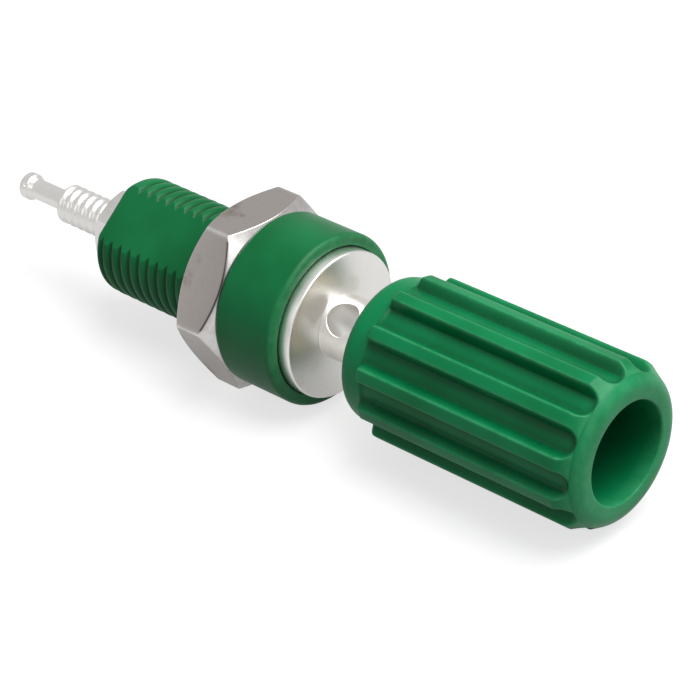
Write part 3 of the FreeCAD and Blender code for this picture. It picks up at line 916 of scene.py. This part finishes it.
@dataclass
class HexNut:
    """A hexagon nut whose two faces are turned to a cone."""

    name: str
    half_width: float
    rear: float
    front: float
    bore_radius: float
    turn: float = 0.0
    face_share: float = 0.97
    slope: float = 36.0
    corner_round: float = 0.22
    edge_soft: float = 0.06
    bore_edge: float = 0.2
    rub_width: float = 0.16
    edge_width: float = 0.42
    # Painted shadow line beside the front chamfer on one face: its strength, width and the face's angle.
    burr_shadow: float = 0.0
    burr_shadow_width: float = 0.72
    burr_shadow_side: float = -60.0
    # Strength of the painted highlight that lightens the chamfer cones.
    cone_highlight: float = 0.7

    def outline(self, off: np.ndarray) -> np.ndarray:
        """Distance from the axis to the hexagon's side.

        On a flat it is a / cos(angle off the flat's middle). At a corner it is the far
        crossing with a circle of the corner's radius p round the point at distance
        (a - p) / cos 30 on the corner's line.

        Args:
            off: Angle from the nearest corner, in radians.

        Returns:
            The distances.
        """
        flat = self.half_width / np.cos(math.radians(30.0) - off)
        middle = (self.half_width - self.corner_round) / math.cos(math.radians(30.0))
        under = np.maximum(self.corner_round**2 - (middle * np.sin(off)) ** 2, 0.0)
        bent = middle * np.cos(off) + np.sqrt(under)
        lateral = (self.half_width - self.corner_round) * math.tan(math.radians(30.0))
        touch = math.radians(30.0) - math.atan(lateral / self.half_width)
        return np.where(off < touch, bent, flat)

    def build(self) -> Piece:
        """Make the nut as one closed loop of rows, its cone rows following the hexagon.

        Returns:
            The piece.
        """
        side = np.array([0.0, 0.25, 0.5, 0.75, 1.1, 1.7, 3.0, 6.0, 10.0, 15.0, 20.0, 25.0, 30.0])
        half = np.concatenate([side, 60.0 - side[-2:0:-1]])
        corner = np.arange(6)[:, None] * 60.0 + 30.0 - self.turn
        angle = np.radians((corner + half[None, :]).ravel())
        off = np.radians(np.minimum(half, 60.0 - half))
        wide = np.tile(self.outline(off), 6)
        face = self.half_width * self.face_share
        slope = math.tan(math.radians(self.slope))
        edge = (wide - face) * slope
        soft = 0.9 * edge.min()
        down = np.concatenate([
            np.array([0.0, 0.3, 0.6])[:, None] * (edge - soft)[None],
            edge[None] + soft * np.linspace(-1.0, 1.0, 13)[:, None],
        ])
        skin = soft_min(np.broadcast_to(wide, down.shape), face + down / slope, self.edge_soft)
        ahead = around(self.front - down, skin, angle[None])
        behind = around(self.rear + down[::-1], skin[::-1], angle[None])
        cut = rounded([
            (self.rear, face, 0.0),
            (self.rear, self.bore_radius + self.bore_edge, 0.04),
            (self.rear + self.bore_edge, self.bore_radius, 0.04),
            (self.front - self.bore_edge, self.bore_radius, 0.04),
            (self.front, self.bore_radius + self.bore_edge, 0.04),
            (self.front, face, 0.0),
        ], 4)
        inside = around(cut[1:-1, :1], cut[1:-1, 1:], angle[None])
        below = down - edge[None]
        # Edge mark: rubbed corners, a light line along each chamfer's edge and lightened chamfer cones, wear
        # mixed with painted highlight.
        corners = np.exp(-((np.tile(off, 6)[None] * self.half_width / self.rub_width) ** 2))
        corners = corners * smooth_step(below, -0.3, 0.0)
        ring = np.exp(-((below / (self.edge_width * soft)) ** 2))
        cone = 1.0 - smooth_step(below, -0.08, 0.0)
        # Painted shadow line beside the front chamfer on one face, held in the shade mark and kept off the
        # edge mark.
        facing = np.abs((np.degrees(angle)[None] - self.burr_shadow_side + 180.0) % 360.0 - 180.0)
        line = np.exp(-((below / (self.burr_shadow_width * soft)) ** 2))
        burr_shadow = self.burr_shadow * line * smooth_step(-facing, -29.5, -27.0)
        plain = np.zeros_like(inside[..., 0])
        rubbed_and_highlight = np.maximum(np.maximum(corners, 0.5 * ring), self.cone_highlight * cone)
        rubbed_and_highlight = np.concatenate([rubbed_and_highlight, rubbed_and_highlight[::-1], plain])
        shade_line = np.concatenate([burr_shadow, np.zeros_like(burr_shadow), plain])
        surface = Surface()
        marks = {Mark.EDGE: rubbed_and_highlight * (1.0 - shade_line), Mark.PAINTED_SHADE: shade_line}
        surface.add_grid(np.concatenate([ahead, behind, inside]), rows=Lie.LOOP, marks=marks)
        return surface.put(self.name, 24.0)


@dataclass
class Knob:
    """Ribbed knob with a rounded skirt, a bevelled front and a deep bore."""

    rear: float = 13.85
    skirt_front: float = 16.6
    skirt_radius: float = 7.1
    skirt_round: float = 1.3
    grip_radius: float = 8.1
    bevel_at: float = 39.7
    front: float = 41.8
    face_radius: float = 6.8
    mouth_radius: float = 4.95
    mouth_floor: float = 26.75
    lip_radius: float = 4.05
    seat_floor: float = 25.55
    seat_radius: float = 4.55
    skirt_land: float = 0.9
    grooves: int = 12
    groove_floor: float = 6.95
    groove_half: float = 1.16
    groove_wall: float = 0.62
    groove_end: float = 39.8
    rib_round: float = 0.75
    rib_corner: float = 0.4
    bevel_blend: float = 0.1
    floor_run: float = 0.6
    # Width of the light lines of wear and painted highlight along the ribs' edges.
    ridge_width: float = 0.1
    middle_radius: float = 7.55
    face_blend: float = 0.82
    # Strength of the painted highlight on the front bevel and at the mouth's edge.
    front_highlight: float = 0.8

    def columns(self) -> np.ndarray:
        """Angles with close columns where the grooves' walls rise."""
        near = np.concatenate([[0.0, 2.6, 5.0], np.arange(6.6, 11.2, 0.32), [12.0, 13.5, 15.0]])
        both = np.concatenate([near, 30.0 - near[-2:0:-1]])
        start = np.arange(self.grooves)[:, None] * (360.0 / self.grooves)
        return np.radians((start + both[None]).ravel())

    def slope(self) -> float:
        """How fast the bevel falls towards the axis along it."""
        return (self.grip_radius - self.face_radius) / (self.front - self.bevel_at)

    def outside(self, x: np.ndarray, angle: np.ndarray) -> tuple[np.ndarray, dict[Mark, np.ndarray]]:
        """Distance from the axis of the ribbed side, and its marks of painted shade and of wear with painted
        highlight.

        It is floor + (grip - floor) times a smooth step of the distance to the groove's
        middle line, which ends at a point, so the groove has a half-round front end.

        Args:
            x: Places along the axis, as a column.
            angle: The columns' angles.

        Returns:
            The distances and the marks, by row and column.
        """
        share = 360.0 / self.grooves
        off = np.degrees(angle)[None, :] % share
        off = np.radians(np.minimum(off, share - off))
        aside = self.middle_radius * np.sin(off)
        distance = np.hypot(np.maximum(x - self.groove_end, 0.0), aside)
        into = np.clip(1.0 - (x - self.skirt_front) / self.rib_round, 0.0, 1.0)
        round_end = np.sqrt(1.0 - into**2)
        opening = self.rib_corner * (1.0 - np.sqrt(1.0 - np.clip(into * 1.2, 0.0, 1.0) ** 2))
        low = self.groove_half - 0.5 * self.groove_wall + opening
        rise = smooth_step(distance - low, 0.0, self.groove_wall)
        grip = self.skirt_radius + (self.grip_radius - self.skirt_radius) * round_end
        grip = soft_min(grip, self.grip_radius - self.slope() * (x - self.bevel_at), self.bevel_blend)
        fall = smooth_step(x, self.skirt_front, self.skirt_front + self.floor_run)
        floor = np.minimum(self.skirt_radius - (self.skirt_radius - self.groove_floor) * fall, grip)
        # Painted shade on the groove floors; light lines along the ribs' edges, wear mixed with painted
        # highlight; a painted highlight on the front bevel.
        deep = smooth_step(grip - floor, 0.15, 0.6)
        ridge_highlight = np.exp(-(((distance - low - 0.92 * self.groove_wall) / self.ridge_width) ** 2))
        corner = 0.35 + 0.65 * smooth_step(distance, 0.0, low + 0.3 * self.groove_wall)
        bevel_highlight = self.front_highlight * smooth_step(x, self.bevel_at + 0.2, self.front - 0.7) * rise
        marks = {Mark.PAINTED_SHADE: deep * (1.0 - rise) * corner, Mark.EDGE: np.maximum(deep * ridge_highlight, bevel_highlight)}
        return floor + (grip - floor) * rise, marks

    def build(self) -> Piece:
        """Make the knob as one closed loop of rows.

        Returns:
            The piece.
        """
        angle = self.columns()
        skirt = rounded([
            (self.rear, self.seat_radius + self.skirt_land, 0.0),
            (self.rear, self.skirt_radius, self.skirt_round),
            (self.skirt_front, self.skirt_radius, 0.0),
        ], 9)
        rising = self.skirt_front + self.rib_round * (1.0 - np.cos(np.linspace(0.0, 0.5 * np.pi, 12)))
        long = np.array([18.2, 19.2, 21.5, 24.0, 26.5, 29.0, 31.5, 34.0, 36.0, 37.5, 38.3])
        face_at = self.front - self.face_blend
        x = np.concatenate([rising, long, np.arange(38.7, face_at - 0.02, 0.09), [face_at]])[:, None]
        radius, marks = self.outside(x, angle)
        side = around(x, radius, angle[None])
        inner = rounded([
            (face_at, self.face_radius + self.face_blend * self.slope(), 0.0),
            (self.front, self.face_radius, 1.6),
            (self.front, self.mouth_radius, 0.22),
            (self.mouth_floor, self.mouth_radius, 0.15),
            (self.mouth_floor, self.lip_radius, 0.12),
            (self.seat_floor, self.lip_radius, 0.0),
            (self.seat_floor, self.seat_radius, 0.0),
            (self.rear, self.seat_radius, 0.15),
            (self.rear, self.seat_radius + self.skirt_land, 0.0),
        ])
        inner = filled(inner, np.arange(28.0, 41.4, 1.5), self.mouth_radius)
        back = around(skirt[:-1, :1], skirt[:-1, 1:], angle[None])
        within = around(inner[1:-1, :1], inner[1:-1, 1:], angle[None])
        place = inner[1:-1, :1]
        # Painted shade deepening down the bore, and a painted highlight at the mouth's front edge.
        after = {
            Mark.PAINTED_SHADE: smooth_step(-place, -self.front + 0.4, -self.front + 5.5),
            Mark.EDGE: self.front_highlight * smooth_step(place, self.front - 0.9, self.front - 0.25),
        }
        before, columns = np.zeros((len(back), len(angle))), np.ones((1, len(angle)))
        marks = {mark: np.concatenate([before, marks[mark], after[mark] * columns]) for mark in Mark}
        surface = Surface()
        surface.add_grid(np.concatenate([back, side, within]), rows=Lie.LOOP, marks=marks)
        return surface.put("ribbed_knob", 40.0)


@dataclass(frozen=True)
class Lamp:
    """A square soft lamp that faces the post."""

    name: str
    at: tuple[float, float, float]
    size: float
    watts: float
    aim: tuple[float, float, float] = (4.0, 0.0, 0.0)

    def add(self) -> None:
        """Put the lamp in its place and turn it to its aim."""
        lamp = bpy.data.lights.new(self.name, "AREA")
        lamp.shape = "SQUARE"
        lamp.size = self.size * METRES
        lamp.energy = self.watts
        thing = bpy.data.objects.new(self.name, lamp)
        bpy.context.scene.collection.objects.link(thing)
        place = Vector(self.at) * METRES
        towards = Vector(self.aim) * METRES - place
        thing.matrix_world = Matrix.Translation(place) @ towards.to_track_quat("-Z", "Y").to_matrix().to_4x4()


@dataclass
class Studio:
    """Pale floor, soft lights and the camera at the photograph's angle."""

    lamps: tuple[Lamp, ...] = (
        Lamp("key", (120.0, 75.0, 350.0), 340.0, 2.1),
        Lamp("fill", (330.0, -60.0, 230.0), 200.0, 0.2),
        Lamp("side", (-80.0, -330.0, 200.0), 200.0, 0.1),
    )
    floor_level: float = -8.6
    floor_half: float = 1500.0
    floor_grey: tuple[float, float] = (0.33, 0.35)
    floor_seen: float = 0.7
    floor_mirrored: float = 0.35
    surround_light: float = 0.2
    surround_mirrored: float = 0.5
    camera_at: tuple[float, float, float] = (172.92, -171.28, 148.87)
    right: tuple[float, float, float] = (0.7398, 0.6716, -0.0411)
    up: tuple[float, float, float] = (-0.3362, 0.4219, 0.8420)
    lens_pixels: float = 3000.0
    frame_pixels: float = 700.0
    sensor: float = 36.0

    def seen(self, graph: Graph, direct: float, mirrored: float) -> Socket:
        """How white the studio shows to a ray: one share straight or through glass, one mirrored.

        Args:
            graph: The material's or world's graph.
            direct: Share for rays from the camera and through clear things.
            mirrored: Share for rays off glossy surfaces.

        Returns:
            The output socket.
        """
        rays = graph.add("LightPath").outputs
        clear = graph.value("MAXIMUM", rays["Is Camera Ray"], rays["Is Transmission Ray"])
        glossy = graph.value("MULTIPLY", rays["Is Glossy Ray"], mirrored)
        return graph.value("MAXIMUM", graph.value("MULTIPLY", clear, direct), glossy)

    def add_floor(self) -> None:
        """A wide grey floor, lifted to near white for camera rays and a little for glossy ones."""
        half = self.floor_half
        corners = np.array([[-half, -half], [half, -half], [half, half], [-half, half]])
        points = np.column_stack([corners, np.full(4, self.floor_level)]) * METRES
        mesh = bpy.data.meshes.new("floor")
        mesh.from_pydata(points.tolist(), [], [(0, 1, 2, 3)])
        floor = bpy.data.objects.new("floor", mesh)
        bpy.context.scene.collection.objects.link(floor)
        material, graph, place = start_material("floor")
        speck = graph.remap(graph.noise(place, 60.0, 3.0), 0.3, 0.7)
        base = graph.blend(speck, *(colour((grey, grey, grey)) for grey in self.floor_grey))
        matt = {"Base Color": base, "Roughness": 0.9, "Specular IOR Level": 0.1}
        shader = graph.add("BsdfPrincipled", matt)
        strength = self.seen(graph, self.floor_seen, self.floor_mirrored)
        lift = graph.add("Emission", {"Color": colour(WHITE), "Strength": strength})
        both = graph.add("AddShader", {0: shader.outputs[0], 1: lift.outputs[0]})
        graph.add("OutputMaterial", {"Surface": both.outputs[0]})
        mesh.materials.append(material)
        floor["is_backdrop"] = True

    def add_world(self) -> None:
        """A dim surround that the camera sees as white and glossy surfaces as half of it."""
        world = bpy.data.worlds.new("surround")
        bpy.context.scene.world = world
        world.use_nodes = True
        graph = Graph(world.node_tree)
        dim = graph.add("Background", {"Color": colour(COOL_GREY), "Strength": self.surround_light})
        white = graph.add("Background", {"Color": colour(WHITE), "Strength": 1.0})
        share = self.seen(graph, 1.0, self.surround_mirrored)
        mix = graph.add("MixShader", {0: share, 1: dim.outputs[0], 2: white.outputs[0]})
        graph.add("OutputWorld", {"Surface": mix.outputs[0]})

    def add_camera(self) -> None:
        """The camera as worked out from the photograph, without shift."""
        data = bpy.data.cameras.new("camera")
        data.sensor_width = self.sensor
        data.lens = self.lens_pixels * self.sensor / self.frame_pixels
        data.clip_start = 0.01
        data.clip_end = 10.0
        camera = bpy.data.objects.new("camera", data)
        bpy.context.scene.collection.objects.link(camera)
        right, up = np.array(self.right), np.array(self.up)
        right = right / np.linalg.norm(right)
        back = np.cross(right, up)
        back = back / np.linalg.norm(back)
        up = np.cross(back, right)
        turn = Matrix(np.column_stack([right, up, back]).tolist()).to_4x4()
        camera.matrix_world = Matrix.Translation([part * METRES for part in self.camera_at]) @ turn
        bpy.context.scene.camera = camera

    def build(self) -> None:
        """Set up floor, surround, lamps and camera."""
        self.add_floor()
        self.add_world()
        for lamp in self.lamps:
            lamp.add()
        self.add_camera()
        bpy.context.scene.view_settings.view_transform = "Standard"


def write_sizes() -> None:
    """Work out the CAD's box and the dressed model's box as lists of corners, and keep neither."""
    boxes = {"cad": CAD_BOX, "visual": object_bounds()}
    boxes = {label: [list(corner) for corner in box] for label, box in boxes.items()}


def main() -> None:
    """Build and dress every piece in order."""
    logging.basicConfig(level=logging.INFO, format="%(name)s: %(message)s")
    Studio().build()
    fit(Moulding().build(), "post", "body_moulding", BODY_PLASTIC.make())
    fit(Core().build(), "post", "contact_core", CORE_PLATING.make())
    large = HexNut("large_nut", half_width=8.5, rear=-5.1, front=-0.1, bore_radius=6.08, burr_shadow=1.0)
    fit(large.build(), "panel_nut", "panel_nut", NUT_PLATING.make())
    small = HexNut(
        "small_nut", half_width=3.5, rear=-21.7, front=-19.3, bore_radius=1.8,
        turn=24.5, corner_round=0.15, edge_soft=0.03,
    )
    fit(small.build(), "post", "stud_nut", STUD_NUT_PLATING.make())
    fit(Knob().build(), "knob", "knob", KNOB_PLASTIC.make())
    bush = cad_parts["knob_insert"]
    bush.data.materials.clear()
    bush.data.materials.append(BUSH_BRASS.make())
    log.info("knob_insert: keeps its own mesh, with a new finish")
    write_sizes()


if __name__ == "__main__":
    main()
